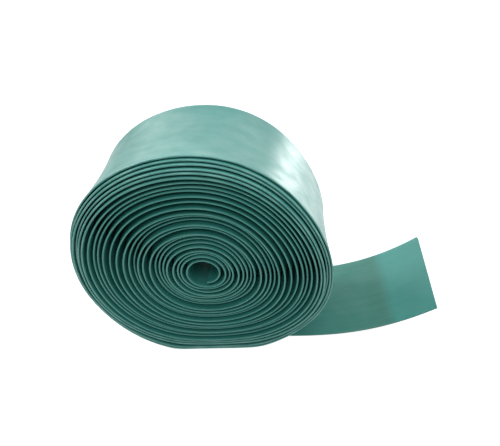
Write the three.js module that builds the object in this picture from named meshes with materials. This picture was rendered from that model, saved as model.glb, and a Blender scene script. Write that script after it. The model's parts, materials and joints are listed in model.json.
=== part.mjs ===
// A roll of flat-wound irrigation hose, standing on its rim with its free end on the floor.
// Millimetres, +Z up. The roll's axis runs along Y, and the free end leaves it towards +X.
// The origin is on the floor, under the middle of the eye, at half the width of the roll.
//
// The real hose is one piece. Each mesh is a length of it, cut where the roll can move:
// the turns slide sideways past each other, the free end curls, and the inner end lifts.

import * as THREE from "three";

// ---- driving dimensions -------------------------------------------------------------------

const FLAT_WIDTH = 82; // the hose pressed flat, fold to fold
const THICKNESS = 1.4; // two walls of about 0.7 mm, one on the other
const TURNS = 26;
const EYE_HEIGHT = 88.2; // from the floor up to the middle of the eye
const EYE_RADIUS = 9.6; // from the middle of the eye to the middle of the hose's inner end
const CUT_GAP = 0.4; // left between two lengths that only slide past each other
const HINGE_GAP = 1; // left between two lengths that bend

// The outermost turn isn't round. It is a circle with waves around it: lean, oval, and so on.
const OUTLINE_RADIUS = 94.2;
const OUTLINE_WAVES = [
  { lobes: 1, size: 4.6, towards: -146 },
  { lobes: 2, size: 2.9, towards: -40 },
  { lobes: 3, size: 1.5, towards: -97 },
  { lobes: 4, size: 0.9, towards: -122 },
];

// The floor flattens the outermost turns' feet. That fades inwards with this power of the turns,
// and it sets in over a height of twice FOOT_SOFTNESS.
const FOOT_POWER = 6;
const FOOT_SOFTNESS = 2.5;

// The turns aren't wound evenly. By this many turns, the hose is further out than even winding
// would put it, after so many turns. The roll's weight evens out most of that under the eye.
const SLACK = [
  { wound: 0, extra: 0 },
  { wound: 1.5, extra: 0.5 },
  { wound: 3.5, extra: 0 },
  { wound: 4.5, extra: 0.45 },
  { wound: 8.5, extra: -0.15 },
  { wound: 9.5, extra: 0.45 },
  { wound: 13.5, extra: 0.3 },
  { wound: 16.5, extra: 1.58 },
  { wound: 17.5, extra: 1.76 },
  { wound: 18.5, extra: 1.6 },
  { wound: 19.5, extra: 1.64 },
  { wound: 20.5, extra: 1.87 },
  { wound: 21.5, extra: 1.7 },
  { wound: 22.5, extra: 1.33 },
  { wound: 23.5, extra: 1.07 },
  { wound: 26, extra: 0 },
];
const SLACK_PRESSED_OUT = 0.7;

// The last turns step back from the near face of the roll, by this much after so many turns.
// They do so over the top of the roll, and come forwards again where they are pressed below it.
const STEPS_BACK = [
  { wound: 19.9, back: 0 },
  { wound: 20.5, back: 0.8 },
  { wound: 20.85, back: 0.2 },
  { wound: 21.1, back: 0.2 },
  { wound: 21.5, back: 2 },
  { wound: 21.85, back: 0.3 },
  { wound: 22.1, back: 0.3 },
  { wound: 22.5, back: 3.3 },
  { wound: 22.8, back: 1.5 },
  { wound: 22.95, back: 0.4 },
  { wound: 23.05, back: 0.4 },
  { wound: 23.55, back: 5.6 },
  { wound: 23.8, back: 3 },
  { wound: 23.93, back: 0.8 },
  { wound: 24.03, back: 0.7 },
  { wound: 24.15, back: 3.5 },
  { wound: 24.5, back: 6.5 },
  { wound: 24.8, back: 3.8 },
  { wound: 24.93, back: 0.8 },
  { wound: 25.02, back: 0.6 },
  { wound: 25.14, back: 4.2 },
  { wound: 25.4, back: 7.2 },
  { wound: 25.65, back: 7.2 },
  { wound: 26.05, back: 15.2 },
];

// The free end lies flat, then curls up off the floor and twists a little.
const CURL_START = 59;
const CURL_END = 174;
const CURL_HEIGHT = 33.2;
const CURL_POWER = 2.4;
const TWIST_DEGREES = 1.2;
const TAIL_DRIFT = -0.027; // the free end runs forwards again by this share of its length
const TAIL_HINGES = [94, 114, 134, 154];

// The inner end's free flap, as a share of a turn.
const FLAP_SHARE = 0.25;

const STEPS_PER_TURN = 36;
const STEPS_PER_TAIL_LENGTH = 3;
const FOOT_STEPS = 2; // the steps of the last turn that belong to the stretch on the floor

const NEAR_COLOUR = 0x2f6f61;
const INNER_COLOUR = 0x275f54;
const TAIL_COLOUR = 0x4b9183;
const ROUGHNESS = 0.38;
const METALNESS = 0;

// ---- the hose's route ---------------------------------------------------------------------

const radians = THREE.MathUtils.degToRad;
const FULL_TURN = 2 * Math.PI;
const BOTTOM = -Math.PI / 2;
const TINY = 1e-4;

// How far the outermost turn's middle surface is from the eye, in the direction angle.
function outlineRadius(angle) {
  let radius = OUTLINE_RADIUS;
  for (const wave of OUTLINE_WAVES) {
    radius += wave.size * Math.cos(wave.lobes * angle - radians(wave.towards));
  }
  return radius;
}

// How far the floor lifts the outermost turn, where it would be at this height above its foot.
function footLift(height) {
  const rise = Math.max(0, height + FOOT_SOFTNESS) ** 2 / (4 * FOOT_SOFTNESS);
  return height > FOOT_SOFTNESS ? 0 : rise - height;
}

// The places on both sides of wound, and how far it is from the first to the second, 0 to 1.
function placesRound(places, wound) {
  const after = Math.max(1, places.findIndex((place) => place.wound >= wound));
  const [low, high] = [places[after - 1], places[after]];
  const share = (wound - low.wound) / (high.wound - low.wound);
  return { low, high, share: Math.max(0, share) };
}

// The turns' uneven winding, between the places that SLACK names.
function slackAt(wound) {
  const { low, high, share } = placesRound(SLACK, wound);
  return low.extra + (high.extra - low.extra) * share;
}

// The middle of the hose's thickness, wound turns from its inner end, in the XZ plane.
function woundPoint(wound) {
  const angle = BOTTOM + FULL_TURN * wound;
  const outer = outlineRadius(angle);
  const pressed = 1 - SLACK_PRESSED_OUT * Math.max(0, -Math.sin(angle)) ** 2;
  const layers = wound + slackAt(wound) * pressed;
  const radius = EYE_RADIUS + ((outer - EYE_RADIUS) * layers) / TURNS;
  const lowest = wound > TURNS - 0.5 ? radius : outer;
  const lift = footLift(lowest * Math.sin(angle) + EYE_HEIGHT - THICKNESS / 2);
  const share = Math.min(1, wound / (TURNS - 1)) ** FOOT_POWER;
  const height = EYE_HEIGHT + radius * Math.sin(angle) + lift * share;
  return new THREE.Vector2(radius * Math.cos(angle), height);
}

// The same on the free end, at a distance x from the eye.
function tailPoint(x) {
  const share = Math.max(0, (x - CURL_START) / (CURL_END - CURL_START));
  return new THREE.Vector2(x, THICKNESS / 2 + CURL_HEIGHT * share ** CURL_POWER);
}

// The middle of the hose's width, along Y. It eases from each place that STEPS_BACK names to the next.
function stepBack(wound) {
  const { low, high, share } = placesRound(STEPS_BACK, wound);
  const eased = share * share * (3 - 2 * share);
  return low.back + (high.back - low.back) * eased;
}

function tailShift(x) {
  return stepBack(TURNS) + TAIL_DRIFT * x;
}

// A station is a flat cross-section of the hose: its middle, and its directions across and out.
function station(point, tangent, middleY, twist) {
  const along = new THREE.Vector3(tangent.x, 0, tangent.y).normalize();
  const across = new THREE.Vector3(0, Math.cos(twist), Math.sin(twist));
  across.addScaledVector(along, -across.dot(along)).normalize();
  const out = new THREE.Vector3().crossVectors(across, along);
  return { middle: new THREE.Vector3(point.x, middleY, point.y), across, out };
}

function woundStation(wound) {
  const before = woundPoint(wound - TINY);
  const tangent = woundPoint(Math.min(wound + TINY, TURNS)).sub(before);
  return station(woundPoint(wound), tangent, stepBack(wound), 0);
}

function tailStation(x) {
  const tangent = tailPoint(x + TINY).sub(tailPoint(x - TINY));
  const share = Math.max(0, (x - CURL_START) / (CURL_END - CURL_START));
  return station(tailPoint(x), tangent, tailShift(x), radians(TWIST_DEGREES) * share);
}

// ---- solids -------------------------------------------------------------------------------

// One length of hose: a closed rectangular bar through its stations.
function lengthOfHose(name, stations, colour) {
  const corners = [
    [-1, 1],
    [1, 1],
    [1, -1],
    [-1, -1],
  ];
  const positions = [];
  for (const { middle, across, out } of stations) {
    for (const [side, face] of corners) {
      const corner = middle.clone();
      corner.addScaledVector(across, (side * FLAT_WIDTH) / 2);
      corner.addScaledVector(out, (face * THICKNESS) / 2);
      positions.push(corner.x, corner.y, corner.z);
    }
  }
  const faces = [];
  for (let i = 0; i + 1 < stations.length; i++) {
    for (let side = 0; side < 4; side++) {
      const a = 4 * i + side;
      const b = 4 * i + ((side + 1) % 4);
      faces.push(a, b, b + 4, a, b + 4, a + 4);
    }
  }
  const last = 4 * (stations.length - 1);
  faces.push(0, 3, 2, 0, 2, 1);
  faces.push(last, last + 1, last + 2, last, last + 2, last + 3);
  const geometry = new THREE.BufferGeometry();
  geometry.setAttribute("position", new THREE.Float32BufferAttribute(positions, 3));
  geometry.setIndex(faces);
  geometry.computeVertexNormals();
  const material = new THREE.MeshStandardMaterial({
    color: colour,
    roughness: ROUGHNESS,
    metalness: METALNESS,
  });
  const mesh = new THREE.Mesh(geometry, material);
  mesh.name = name;
  return mesh;
}

// The wound stations from start to end, with a gap of startGap and endGap left at the ends.
function woundStations(start, end, startGap, endGap) {
  const shareOf = (gap, wound) => gap / 2 / (FULL_TURN * woundPoint(wound).distanceTo(eye));
  const first = start + shareOf(startGap, start);
  const last = end - shareOf(endGap, end);
  const steps = Math.round((end - start) * STEPS_PER_TURN);
  const stations = [woundStation(first)];
  for (let i = 1; i < steps; i++) {
    stations.push(woundStation(start + i / STEPS_PER_TURN));
  }
  stations.push(woundStation(last));
  return stations;
}

function tailStations(start, end, steps) {
  const stations = [];
  for (let i = 0; i <= steps; i++) {
    stations.push(tailStation(start + ((end - start) * i) / steps));
  }
  return stations;
}

const eye = new THREE.Vector2(0, EYE_HEIGHT);
const hose = new THREE.Group();

// The flap at the inner end, inside the eye.
hose.add(lengthOfHose("inner_end", woundStations(0, FLAP_SHARE, 0, HINGE_GAP), TAIL_COLOUR));

// The turns, from the eye outwards. The last one stops where the hose meets the floor.
const footStart = TURNS - FOOT_STEPS / STEPS_PER_TURN;
for (let turn = 1; turn <= TURNS; turn++) {
  const start = turn === 1 ? FLAP_SHARE : turn - 1;
  const end = turn === TURNS ? footStart : turn;
  const startGap = turn === 1 ? HINGE_GAP : CUT_GAP;
  const name = `turn_${String(turn).padStart(2, "0")}`;
  const colour = turn % 2 ? NEAR_COLOUR : INNER_COLOUR;
  hose.add(lengthOfHose(name, woundStations(start, end, startGap, CUT_GAP), colour));
}

// The stretch that the roll stands on, from the last turn's foot to the first hinge.
const foot = woundStations(footStart, TURNS, CUT_GAP, 0).slice(0, -1);
const firstRise = tailStations(CURL_START, TAIL_HINGES[0] - HINGE_GAP / 2, STEPS_PER_TAIL_LENGTH);
hose.add(lengthOfHose("lead_out", [...foot, ...firstRise], TAIL_COLOUR));

// The free end, in lengths that bend against each other.
TAIL_HINGES.forEach((hinge, i) => {
  const isLast = i === TAIL_HINGES.length - 1;
  const start = hinge + HINGE_GAP / 2;
  const end = isLast ? CURL_END : TAIL_HINGES[i + 1] - HINGE_GAP / 2;
  const stations = tailStations(start, end, STEPS_PER_TAIL_LENGTH);
  hose.add(lengthOfHose(`tail_${i + 1}`, stations, TAIL_COLOUR));
});

export default hose;
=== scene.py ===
"""The looks of a roll of flat-wound irrigation hose, built round its CAD frame.

The hose's route is worked out in millimetres, as in the CAD model, and its meshes are made in metres.
+Z is up, the roll's axis runs along Y, and the free end leaves the roll towards +X.
"""

import json
import math

import bpy
import numpy as np
from mathutils import Matrix, Vector


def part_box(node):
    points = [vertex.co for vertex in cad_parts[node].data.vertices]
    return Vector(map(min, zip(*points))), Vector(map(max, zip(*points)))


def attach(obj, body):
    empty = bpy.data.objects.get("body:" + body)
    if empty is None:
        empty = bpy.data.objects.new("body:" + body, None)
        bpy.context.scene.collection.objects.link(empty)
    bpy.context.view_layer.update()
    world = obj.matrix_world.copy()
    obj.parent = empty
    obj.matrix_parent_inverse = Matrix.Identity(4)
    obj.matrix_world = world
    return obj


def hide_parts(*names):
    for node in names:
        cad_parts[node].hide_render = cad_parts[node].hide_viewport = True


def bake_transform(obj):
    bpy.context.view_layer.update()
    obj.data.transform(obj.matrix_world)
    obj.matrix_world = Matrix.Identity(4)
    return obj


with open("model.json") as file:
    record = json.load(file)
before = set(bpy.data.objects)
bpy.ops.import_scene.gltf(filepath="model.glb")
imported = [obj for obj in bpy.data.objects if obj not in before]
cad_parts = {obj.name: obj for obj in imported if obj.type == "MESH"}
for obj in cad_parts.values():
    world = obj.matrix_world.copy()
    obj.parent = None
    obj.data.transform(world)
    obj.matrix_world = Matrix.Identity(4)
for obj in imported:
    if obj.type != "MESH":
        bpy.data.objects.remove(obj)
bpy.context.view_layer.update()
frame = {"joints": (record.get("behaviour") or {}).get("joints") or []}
MM = 0.001

# ---- driving dimensions, in millimetres -------------------------------------------------------

joints = {joint["name"]: joint for joint in frame["joints"]}
lowest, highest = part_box("turn_01")
FLAT_WIDTH = (highest.y - lowest.y) / MM
EYE_HEIGHT = joints["inner_end_lift"]["pos_m"][2] / MM
TAIL_HINGES = [joints[f"tail_curl_{i}"]["pos_m"][0] / MM for i in range(1, 5)]

TURNS = 26
THICKNESS = 1.4
EYE_RADIUS = 9.6
FLAP_SHARE = 0.25

OUTLINE_RADIUS = 94.2
OUTLINE_WAVES = [(1, 4.6, -146), (2, 2.9, -40), (3, 1.5, -97), (4, 0.9, -122)]

SLACK = [
    (0, 0), (1.5, 0.5), (3.5, 0), (4.5, 0.45), (8.5, -0.15), (9.5, 0.45), (13.5, 0.3), (16.5, 1.58),
    (17.5, 1.76), (18.5, 1.6), (19.5, 1.64), (20.5, 1.87), (21.5, 1.7), (22.5, 1.33), (23.5, 1.07), (26, 0),
]
SLACK_PRESSED_OUT = 0.7

FOOT_POWER = 6
FOOT_SOFTNESS = 2.5

STEPS_BACK = [
    (0, 0), (19.9, 0), (20.5, 0.8), (20.85, 0.2), (21.1, 0.2), (21.5, 2), (21.85, 0.3), (22.1, 0.3),
    (22.5, 3.3), (22.8, 1.5), (22.95, 0.4), (23.05, 0.4), (23.55, 5.6), (23.8, 3), (23.93, 0.8),
    (24.03, 0.7), (24.15, 3.5), (24.5, 6.5), (24.8, 3.8), (24.93, 0.8), (25.02, 0.6), (25.14, 4.2),
    (25.4, 7.2), (25.65, 7.2), (26.05, 15.2),
]

CURL_START = 59
CURL_END = 174
CURL_HEIGHT = 33.2
CURL_POWER = 2.4
TWIST_DEGREES = 1.2
TAIL_DRIFT = -0.027

# What only the looks have, in mm unless a comment says otherwise.
RECESS = [  # how much further back a turn's edges sit, by turns from the inner end
    (0, 0.5), (1.5, 0), (2.5, 1.6), (3.5, 0), (4.5, 0), (5.5, 1.6), (6.5, 2.4), (7.5, 3.4), (8.1, 3.4),
    (8.4, 0), (9.5, 1.4), (10.5, 0), (11.5, 2.6), (12.6, 2.8), (12.9, 0), (15.2, 0), (15.5, 1.8),
    (16.2, 1.8), (16.5, 0), (17.6, 2), (19.4, 2.4), (19.7, 0), (22.55, 0), (22.8, 2.6), (23.25, 2.6),
    (23.5, 0), (24.15, 0), (24.5, 1.2), (24.85, 0), (25.1, 0), (25.45, 3), (25.7, 3), (26, 0),
]
EDGE_WANDER = [(0.3, 0.618, 0.4), (0.2, 1.37, 2.1), (0.15, 2.71, 4.0)]  # size, waves a turn, phase

SAG = 1.6  # the outer turns sink in between their folds, by this much at the most
SAG_POWER = 3
SAG_SETS_IN = 0.6  # a share of the roll's radius above the floor

SWELL_FROM = 37.2  # this far from its middle, the hose starts to swell into the gap to its neighbours
SWELL_FULL = 28  # and from here to its middle it swells fully
SWELL_SHARE = 0.42  # of the gap, from each side

CUT_SKEW = 3.6  # how far each corner of the cut tail end is from square
CUT_SHIFT = 1.0  # how much longer the tail is than in the CAD model, at its middle
SKEW_REACH = 14  # the length of tail over which the skew sets in
CORNER_ROUNDING = 2.5  # of the far corner of the cut tail end

TAIL_PAINTED_SHADE = [(60, 0), (100, 0.5), (137, 0.75), (146, 0)]  # painted shade of the roll: how much darker and browner the tail's green is painted, along X
FOLD_PAINTED_LIGHT = [  # painted light: how much paler the folds are painted where light from above catches them, by turns from the inner end
    (0, 0.2), (4, 0.35), (12, 0.2), (17, 0.15), (20, 0.35), (21.5, 0.8), (26, 1),
]
PAINTED_LIGHT_FROM = 0.8  # where the painted light starts, as a share of the way into a fold

WALL_HALF = 0.58  # half the thickness of the hose between its folds
BEAD_HALF = 0.68  # half its thickness just inside a fold
BEAD_REACH = 6  # how far a fold's bead reaches towards the middle
BORE_HALF = 0.12  # half the height of the bore at a cut end
BORE_DEPTH = 8
BORE_CLOSES = 0.7  # how much of its height the bore loses over its depth
WALL = 0.62  # the rim of a cut end, beside the bore

# The mesh's fineness.
STEPS_PER_TURN = 144
STEP_ON_TAIL = 1.5
ROUND_STEPS = 8
ACROSS = [38.9, 37.6, 35.8, 33, 28, 21, 13, 4.5]  # where the mesh has points, from the middle out
SHARP_DEGREES = 50

# ---- the hose's route -------------------------------------------------------------------------

TINY = 1e-4


def between(places, at):
    """A value for each of at, from the (place, value) pairs on both sides of it."""
    return np.interp(at, [p[0] for p in places], [p[1] for p in places])


def outline_radius(angle):
    waves = [size * np.cos(lobes * angle - math.radians(towards)) for lobes, size, towards in OUTLINE_WAVES]
    return OUTLINE_RADIUS + sum(waves)


def foot_lift(height):
    """How far the floor lifts the outermost turn, where it would be at this height above its foot."""
    rise = np.maximum(0, height + FOOT_SOFTNESS) ** 2 / (4 * FOOT_SOFTNESS)
    return np.where(height > FOOT_SOFTNESS, 0, rise - height)


def wound_point(wound):
    """The middle of the hose's thickness, wound turns from its inner end, as X and Z."""
    angle = -math.pi / 2 + 2 * math.pi * wound
    pressed = 1 - SLACK_PRESSED_OUT * np.maximum(0, -np.sin(angle)) ** 2
    layers = wound + between(SLACK, wound) * pressed
    outer = outline_radius(angle)
    radius = EYE_RADIUS + (outer - EYE_RADIUS) * layers / TURNS
    lowest = np.where(wound > TURNS - 0.5, radius, outer)
    lift = foot_lift(lowest * np.sin(angle) + EYE_HEIGHT - THICKNESS / 2)
    share = np.minimum(1, wound / (TURNS - 1)) ** FOOT_POWER
    height = EYE_HEIGHT + radius * np.sin(angle) + lift * share
    return np.stack([radius * np.cos(angle), height], 1)


def curl_share(x):
    return np.maximum(0, (x - CURL_START) / (CURL_END - CURL_START))


def tail_point(x):
    return np.stack([x, THICKNESS / 2 + CURL_HEIGHT * curl_share(x) ** CURL_POWER], 1)


def step_back(wound):
    """How far the turns are from the near face of the roll. It eases from each place to the next."""
    after = np.clip(np.searchsorted([p[0] for p in STEPS_BACK], wound), 1, len(STEPS_BACK) - 1)
    place, back = np.array(STEPS_BACK, float).T
    share = (wound - place[after - 1]) / (place[after] - place[after - 1])
    return back[after - 1] + (back[after] - back[after - 1]) * share**2 * (3 - 2 * share)


def side_shift(wound):
    """How far the hose's middle is from the middle of the roll's width, along Y."""
    settled = np.clip(TURNS - wound, 0, 1)
    wander = sum(size * np.sin(2 * math.pi * waves * wound + phase) for size, waves, phase in EDGE_WANDER)
    return step_back(wound) + between(RECESS, wound) + wander * settled


class Route:
    """Stations along a stretch of hose: its middle, its directions, and what changes along it.

    sag is how far it sinks in, and room_out and room_in are the gaps to its neighbours. The painted shade
    is how much darker and browner it is painted, and the painted fold light is how much paler its folds are
    painted.
    """

    def __init__(self, points, tangents, shift, twist):
        along = np.stack([tangents[:, 0], np.zeros(len(points)), tangents[:, 1]], 1)
        along /= np.linalg.norm(along, axis=1)[:, None]
        across = np.stack([np.zeros(len(points)), np.cos(twist), np.sin(twist)], 1)
        across -= along * (across * along).sum(1)[:, None]
        across /= np.linalg.norm(across, axis=1)[:, None]
        self.middle = np.stack([points[:, 0], shift, points[:, 1]], 1)
        self.along, self.across, self.out = along, across, np.cross(across, along)
        none = np.zeros(len(points))
        self.sag, self.room_out, self.room_in, self.shade = none, none, none, none
        # a little painted light on the folds, unless the route sets its own
        self.wear = none + FOLD_PAINTED_LIGHT[0][1]

    def joined(self, other):
        """This route with the other one after it. They share one station."""
        for name, values in vars(other).items():
            setattr(self, name, np.concatenate([getattr(self, name), values[1:]]))
        return self

    def length(self):
        steps = np.linalg.norm(np.diff(self.middle, axis=0), axis=1)
        return np.concatenate([[0], np.cumsum(steps)])


def gap_to(neighbours, points):
    return np.linalg.norm(neighbours - points, axis=1) - 2 * WALL_HALF


def wound_route(start, end):
    wound = np.linspace(start, end, max(3, round((end - start) * STEPS_PER_TURN) + 1))
    tangents = wound_point(np.minimum(wound + TINY, TURNS)) - wound_point(wound - TINY)
    points = wound_point(wound)
    route = Route(points, tangents, side_shift(wound), np.zeros(len(wound)))
    off_the_floor = np.clip((1 - np.cos(2 * math.pi * wound)) / SAG_SETS_IN, 0, 1)
    route.sag = SAG * (wound / TURNS) ** SAG_POWER * off_the_floor
    route.room_out = np.where(wound < TURNS - 1, gap_to(wound_point(wound + 1), points), 0)
    route.room_in = np.where(wound > 1, gap_to(wound_point(wound - 1), points), 0)
    # painted light on the folds, strongest on the outer turns
    route.wear = between(FOLD_PAINTED_LIGHT, wound)
    return route


def tail_route(start, end):
    x = np.linspace(start, end, max(3, round((end - start) / STEP_ON_TAIL) + 1))
    tangents = tail_point(x + TINY) - tail_point(x - TINY)
    twist = math.radians(TWIST_DEGREES) * curl_share(x)
    shift = step_back(TURNS) + TAIL_DRIFT * x
    route = Route(tail_point(x), tangents, shift, twist)
    # painted shade of the roll on the tail, darker and browner next to the roll
    route.shade = between(TAIL_PAINTED_SHADE, x)
    return route


# ---- meshes -----------------------------------------------------------------------------------


def section():
    """Round the hose's section: across and out from its middle, and how near to a fold, 0 to 1."""
    half = FLAT_WIDTH / 2
    round_from = half - BEAD_HALF
    side = []
    for place in sorted(ACROSS + [-p for p in ACROSS]):
        near_fold = np.clip(1 - (round_from - abs(place)) / BEAD_REACH, 0, 1)
        bead = math.sin(math.pi * min(1, near_fold)) ** 2 if near_fold < 0.5 else 1
        side.append((place, WALL_HALF + (BEAD_HALF - WALL_HALF) * bead, near_fold))
    far = []
    for i in range(ROUND_STEPS + 1):
        angle = math.pi / 2 - math.pi * i / ROUND_STEPS
        far.append((round_from + BEAD_HALF * math.cos(angle), BEAD_HALF * math.sin(angle), 1))
    under = [(place, -height, fold) for place, height, fold in reversed(side)]
    near = [(-place, height, fold) for place, height, fold in reversed(far)]
    return np.array(side + far + under + near)


SECTION = section()


def cut_slide(to_cut, across):
    """How far points slide along the tail, so that its cut end is skewed, with one round corner."""
    share = np.clip(1 - to_cut / SKEW_REACH, 0, 1)[:, None]
    half = FLAT_WIDTH / 2
    skew = CUT_SHIFT + CUT_SKEW * across / half
    into_corner = np.clip(across - (half - CORNER_ROUNDING), 0, CORNER_ROUNDING)
    rounding = CORNER_ROUNDING - np.sqrt(CORNER_ROUNDING**2 - into_corner**2)
    return share**2 * (3 - 2 * share) * (skew - rounding)[None, :]


def surface(route, slide):
    """The hose's outside: for each station, the points round its section."""
    across, out, _ = SECTION.T
    sunk = out[None] - route.sag[:, None] * (1 - (across[None] / (FLAT_WIDTH / 2)) ** 2)
    loose = np.clip((SWELL_FROM - np.abs(across)) / (SWELL_FROM - SWELL_FULL), 0, 1)
    swell = SWELL_SHARE * loose**2 * (3 - 2 * loose)
    room = np.where(out[None] > 0, route.room_out[:, None], -route.room_in[:, None])
    height = sunk + swell[None] * room
    rings = route.middle[:, None] + route.across[:, None] * across[None, :, None]
    return rings + route.out[:, None] * height[:, :, None] + route.along[:, None] * slide[:, :, None]


def mouth_rings(route, slide, station, inwards):
    """The two rings of a cut end: the bore's edge and its bottom, each with its places in the section."""
    across, out, _ = SECTION.T
    inner_across = across * (1 - WALL / (FLAT_WIDTH / 2))
    inner_out = np.clip(out, -BORE_HALF, BORE_HALF)
    middle, outwards = route.middle[station], route.out[station]
    lip = middle + route.across[station] * inner_across[:, None] + outwards * inner_out[:, None]
    lip += route.along[station] * slide[station][:, None]
    bottom = lip + inwards * BORE_DEPTH - outwards * (inner_out * BORE_CLOSES)[:, None]
    return (lip, bottom), inner_across, inner_out


def quads_between(first, second):
    """Faces from one ring of point numbers to the next."""
    return np.stack([first, np.roll(first, -1), np.roll(second, -1), second], 1)


def set_attribute(mesh, name, kind, field, values):
    attribute = mesh.attributes.new(name, kind, "POINT")
    attribute.data.foreach_set(field, np.concatenate(values).astype(np.float32).ravel())


def hose_mesh(name, route, from_inner_end, mouth_at_start=False, mouth_at_end=False):
    """One closed length of hose. A mouth is a real cut end, with the bore showing in it."""
    across, out, fold = SECTION.T
    loop, count = len(SECTION), len(route.middle)
    length = from_inner_end + route.length()
    slide = cut_slide(length[-1] - length, across) if mouth_at_end else np.zeros((count, loop))
    # painted light on the folds, from a share of the way into each fold
    fold_light_share = np.clip((fold[None] - PAINTED_LIGHT_FROM) / (1 - PAINTED_LIGHT_FROM), 0, 1) * route.wear[:, None]
    points = [surface(route, slide).reshape(-1, 3)]
    where = [np.stack(np.broadcast_arrays(length[:, None], across[None], out[None]), 2).reshape(-1, 3)]
    wear, painted_shades = [fold_light_share.ravel()], [np.repeat(route.shade, loop)]

    rings = np.arange(count * loop).reshape(count, loop)
    faces = [face for pair in zip(rings, rings[1:]) for face in quads_between(*pair).tolist()]
    total = count * loop
    for station, at_start, mouth in ((0, True, mouth_at_start), (-1, False, mouth_at_end)):
        rim = rings[station]
        if mouth:
            inwards = route.along[station] * (1 if at_start else -1)
            inner_rings, inner_across, inner_out = mouth_rings(route, slide, station, inwards)
            for inner in inner_rings:
                points.append(inner)
                where.append(np.stack([np.full(loop, length[station]), inner_across, inner_out], 1))
                wear.append(np.zeros(loop))
                painted_shades.append(np.full(loop, route.shade[station]))
                numbers = np.arange(total, total + loop)
                total += loop
                quads = quads_between(rim, numbers)
                faces += (quads[:, ::-1] if at_start else quads).tolist()
                rim = numbers
        faces.append((rim if at_start else rim[::-1]).tolist())

    mesh = bpy.data.meshes.new(name)
    mesh.from_pydata((np.concatenate(points) * MM).tolist(), [], faces)
    set_attribute(mesh, "hose_at", "FLOAT_VECTOR", "vector", [place * MM for place in where])
    set_attribute(mesh, "wear", "FLOAT", "value", wear)
    set_attribute(mesh, "shade", "FLOAT", "value", painted_shades)
    mesh.polygons.foreach_set("use_smooth", np.ones(len(mesh.polygons), bool))
    mesh.set_sharp_from_angle(angle=math.radians(SHARP_DEGREES))
    mesh.update()
    made = bpy.data.objects.new(name, mesh)
    bpy.context.scene.collection.objects.link(made)
    made.data.materials.append(plastic)
    return made


# ---- materials --------------------------------------------------------------------------------

GREEN_DEEP = (0.021, 0.155, 0.134, 1)
GREEN_LIGHT = (0.029, 0.182, 0.158, 1)
# painted shade: the darker, browner green of the tail next to the roll
GREEN_PAINTED_SHADE = (0.020, 0.092, 0.066, 1)
GREEN_LINES = (0.040, 0.190, 0.164, 1)
# painted light: the paler green of the folds, where light from above catches them
GREEN_PAINTED_LIGHT = (0.13, 0.32, 0.285, 1)
PLASTIC_IOR = 1.4
BUMP_STRENGTH = 0.3
FLOOR_GREY = (0.3, 0.3, 0.298, 1)
FLOOR_SELF_LIGHT = 0.9  # so that the floor comes out near white all over


def nodes_of(name):
    material = bpy.data.materials.new(name)
    material.use_nodes = True
    tree = material.node_tree
    return material, tree, tree.nodes["Principled BSDF"]


def attribute_of(tree, name, output="Fac"):
    node = tree.nodes.new("ShaderNodeAttribute")
    node.attribute_name = name
    return node.outputs[output]


def noise_along(tree, at, scales, detail, roughness):
    """Noise with its own scale along, across and out of the hose, in waves a metre."""
    stretched = tree.nodes.new("ShaderNodeVectorMath")
    stretched.operation = "MULTIPLY"
    stretched.inputs[1].default_value = scales
    tree.links.new(at, stretched.inputs[0])
    noise = tree.nodes.new("ShaderNodeTexNoise")
    noise.inputs["Scale"].default_value = 1
    noise.inputs["Detail"].default_value = detail
    noise.inputs["Roughness"].default_value = roughness
    tree.links.new(stretched.outputs[0], noise.inputs["Vector"])
    return noise.outputs["Fac"]


def ramp(tree, source, low, high, from_value, to_value):
    node = tree.nodes.new("ShaderNodeMapRange")
    node.inputs["From Min"].default_value = low
    node.inputs["From Max"].default_value = high
    node.inputs["To Min"].default_value = from_value
    node.inputs["To Max"].default_value = to_value
    tree.links.new(source, node.inputs["Value"])
    return node.outputs["Result"]


def feed(tree, socket, value):
    """Sets a socket to a plain value, or links an output to it."""
    if isinstance(value, (int, float, tuple)):
        socket.default_value = value
    else:
        tree.links.new(value, socket)


def mixed(tree, share, first, second):
    node = tree.nodes.new("ShaderNodeMix")
    node.data_type = "RGBA"
    tree.links.new(share, node.inputs["Factor"])
    feed(tree, node.inputs[6], first)
    feed(tree, node.inputs[7], second)
    return node.outputs[2]


def math_node(tree, operation, first, second):
    node = tree.nodes.new("ShaderNodeMath")
    node.operation = operation
    feed(tree, node.inputs[0], first)
    feed(tree, node.inputs[1], second)
    return node.outputs[0]


def summed_heights(tree, layers):
    """The bump's height, from pairs of a noise and its share of the whole."""
    total = None
    for noise, share in layers:
        height = math_node(tree, "MULTIPLY", noise, share)
        total = height if total is None else math_node(tree, "ADD", total, height)
    return total


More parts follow.
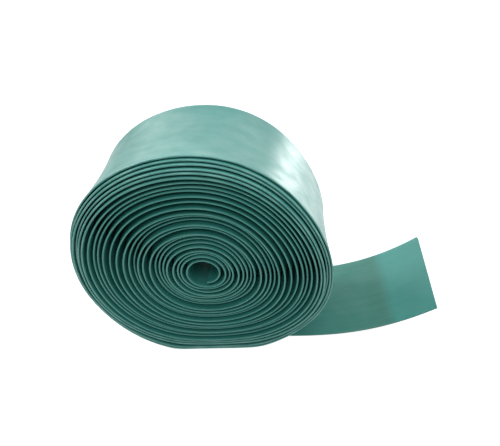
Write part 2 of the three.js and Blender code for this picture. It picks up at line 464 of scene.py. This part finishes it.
def hose_plastic():
    """Satin green PVC, with faint die lines along it, painted light on its folds, mottled by noise, and
    painted shade on the tail next to the roll.
    """
    material, tree, shader = nodes_of("green_hose_plastic")
    at = attribute_of(tree, "hose_at", "Vector")
    cloudy = noise_along(tree, at, (22, 34, 300), 3, 0.55)
    lines = noise_along(tree, at, (2.5, 1100, 300), 2, 0.6)
    grain = noise_along(tree, at, (900, 900, 900), 2, 0.5)
    fold_light_noise = noise_along(tree, at, (60, 320, 300), 4, 0.65)
    swells = noise_along(tree, at, (14, 35, 100), 2, 0.5)
    patches = noise_along(tree, at, (80, 100, 300), 3, 0.6)

    green = mixed(tree, ramp(tree, cloudy, 0.3, 0.7, 0, 1), GREEN_DEEP, GREEN_LIGHT)
    # painted shade of the roll on the tail
    green = mixed(tree, attribute_of(tree, "shade"), green, GREEN_PAINTED_SHADE)
    green = mixed(tree, ramp(tree, lines, 0.35, 0.75, 0, 0.25), green, GREEN_LINES)
    # painted light on the folds, mottled by noise
    fold_light_mottle = ramp(tree, fold_light_noise, 0.42, 0.62, 0.3, 0.9)
    fold_light_share = math_node(tree, "MULTIPLY", attribute_of(tree, "wear"), fold_light_mottle)
    tree.links.new(mixed(tree, fold_light_share, green, GREEN_PAINTED_LIGHT), shader.inputs["Base Color"])

    satin = ramp(tree, patches, 0.35, 0.65, 0.33, 0.43)
    rough = math_node(tree, "ADD", satin, ramp(tree, lines, 0.3, 0.7, -0.02, 0.02))
    tree.links.new(rough, shader.inputs["Roughness"])
    shader.inputs["IOR"].default_value = PLASTIC_IOR

    bump = tree.nodes.new("ShaderNodeBump")
    bump.inputs["Strength"].default_value = BUMP_STRENGTH
    bump.inputs["Distance"].default_value = MM
    height = summed_heights(tree, ((lines, 0.03), (grain, 0.015), (swells, 0.8), (patches, 0.35)))
    tree.links.new(height, bump.inputs["Height"])
    tree.links.new(bump.outputs["Normal"], shader.inputs["Normal"])
    return material


def floor_material():
    material, _, shader = nodes_of("pale_floor")
    shader.inputs["Base Color"].default_value = FLOOR_GREY
    shader.inputs["Roughness"].default_value = 0.8
    shader.inputs["Specular IOR Level"].default_value = 0.1
    shader.inputs["Emission Color"].default_value = (1, 1, 1, 1)
    shader.inputs["Emission Strength"].default_value = FLOOR_SELF_LIGHT
    return material


plastic = hose_plastic()

# ---- the hose, in lengths; the turns ride on the frame's bodies, the flap and tail lengths are baked in place ---

FLAP_PIECE_END = 0.42  # in turns: past the flap's bend, so that the bend is inside this length
OUTER_PIECE_REST = 14  # how far before the tail's first bend the outer turn's length ends
laid_out = 0.0


def lay(name, route, nodes, **mouths):
    global laid_out
    made = hose_mesh(name, route, laid_out, **mouths)
    length = route.length()[-1]
    laid_out += length
    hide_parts(*nodes)
    return made


def bend(made):
    """Bakes a length's transform into its mesh; it stays unattached to any body."""
    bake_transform(made)


flap = lay("hose_inner_end", wound_route(0, FLAP_PIECE_END), ["inner_end"], mouth_at_start=True)
bend(flap)

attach(lay("hose_turn_01", wound_route(FLAP_PIECE_END, 1), ["turn_01"]), "turn_01")
for first in range(2, TURNS, 2):
    body = f"turns_{first:02d}_{first + 1:02d}"
    nodes = [f"turn_{first:02d}", f"turn_{first + 1:02d}"]
    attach(lay(f"hose_{body}", wound_route(first - 1, first + 1), nodes), body)

TAIL_SEAMS = [TAIL_HINGES[0] - OUTER_PIECE_REST]
TAIL_SEAMS += [(a + b) / 2 for a, b in zip(TAIL_HINGES, TAIL_HINGES[1:])]
outer = wound_route(TURNS - 1, TURNS).joined(tail_route(0, TAIL_SEAMS[0]))
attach(lay("hose_outer_turn", outer, ["turn_26", "lead_out"]), "outer_turn")

bodies = ["outer_turn", "tail_1", "tail_2", "tail_3", "tail_4"]
for i, (start, end) in enumerate(zip(TAIL_SEAMS, TAIL_SEAMS[1:] + [CURL_END])):
    name = bodies[i + 1]
    tail = lay(f"{name}_hose", tail_route(start, end), [name], mouth_at_end=end == CURL_END)
    bend(tail)

print(f"hose length {laid_out / 1000:.2f} m")

# ---- floor, lights and camera -----------------------------------------------------------------

FLOOR_SIZE = 12  # metres
STUDIO_COLOUR = (0.97, 0.985, 1, 1)
STUDIO_STRENGTH = 0.4

bpy.ops.mesh.primitive_plane_add(size=FLOOR_SIZE)
floor = bpy.context.object
floor.name = "floor"
floor.data.materials.append(floor_material())

world = bpy.data.worlds.new("studio")
bpy.context.scene.world = world
world.use_nodes = True
world.node_tree.nodes["Background"].inputs["Color"].default_value = STUDIO_COLOUR
world.node_tree.nodes["Background"].inputs["Strength"].default_value = STUDIO_STRENGTH


def soft_light(name, azimuth, elevation, distance, width, height, power):
    """An area light that faces the roll, in metres, degrees and watts.

    Azimuth 0 is behind the roll (+Y), and 90 is to its right (+X).
    """
    data = bpy.data.lights.new(name, "AREA")
    data.shape = "RECTANGLE"
    data.size, data.size_y, data.energy = width, height, power
    light = bpy.data.objects.new(name, data)
    a, e = math.radians(azimuth), math.radians(elevation)
    out = Vector((math.sin(a) * math.cos(e), math.cos(a) * math.cos(e), math.sin(e)))
    light.location = Vector((0, 0, EYE_HEIGHT * MM)) + out * distance
    light.rotation_mode = "QUATERNION"
    light.rotation_quaternion = out.to_track_quat("Z", "Y")
    bpy.context.scene.collection.objects.link(light)
    return light


LIGHTS = [  # name, azimuth, elevation, distance, width, height, power
    ("sky_panel", -4, 19, 2.2, 2.9, 0.8, 23),
    ("window", 31, -5, 0.8, 0.28, 0.26, 2.3),
    ("overhead", 0, 82, 2.2, 1.8, 1.4, 33),
    ("front", 175, 60, 2.0, 1.4, 1.0, 13),
    ("right", 65, 35, 2.0, 0.9, 0.9, 15),
    ("left", -65, 38, 2.0, 0.9, 0.9, 20),
]
for light in LIGHTS:
    soft_light(*light)

FLOOR_GLOW_HEIGHT = 0.08  # it faces down, and the bright floor under it shows in the roll's right side
floor_glow = soft_light("floor_glow", 30, 0, 0.5, 0.45, 0.45, 3.5)
floor_glow.location.z = FLOOR_GLOW_HEIGHT
floor_glow.rotation_quaternion = (1, 0, 0, 0)

LENS = 32.0
CAMERA_PITCH = 36.32
CAMERA_YAW = 6.77
CAMERA_ROLL = -7.28
CAMERA_PLACE = (64.6, -272.8, 303.0)


def photo_camera():
    pitch, yaw, roll = (math.radians(a) for a in (CAMERA_PITCH, CAMERA_YAW, CAMERA_ROLL))
    forward = Vector((-math.sin(yaw) * math.cos(pitch), math.cos(yaw) * math.cos(pitch), -math.sin(pitch)))
    level = Vector((math.cos(yaw), math.sin(yaw), 0))
    upright = level.cross(forward)
    right = level * math.cos(roll) + upright * math.sin(roll)
    up = upright * math.cos(roll) - level * math.sin(roll)
    data = bpy.data.cameras.new("camera")
    data.lens = LENS
    camera = bpy.data.objects.new("camera", data)
    place = Vector(CAMERA_PLACE) * MM
    camera.matrix_world = Matrix.Translation(place) @ Matrix((right, up, -forward)).transposed().to_4x4()
    bpy.context.scene.collection.objects.link(camera)
    bpy.context.scene.camera = camera


photo_camera()
bpy.context.scene.view_settings.view_transform = "Standard"
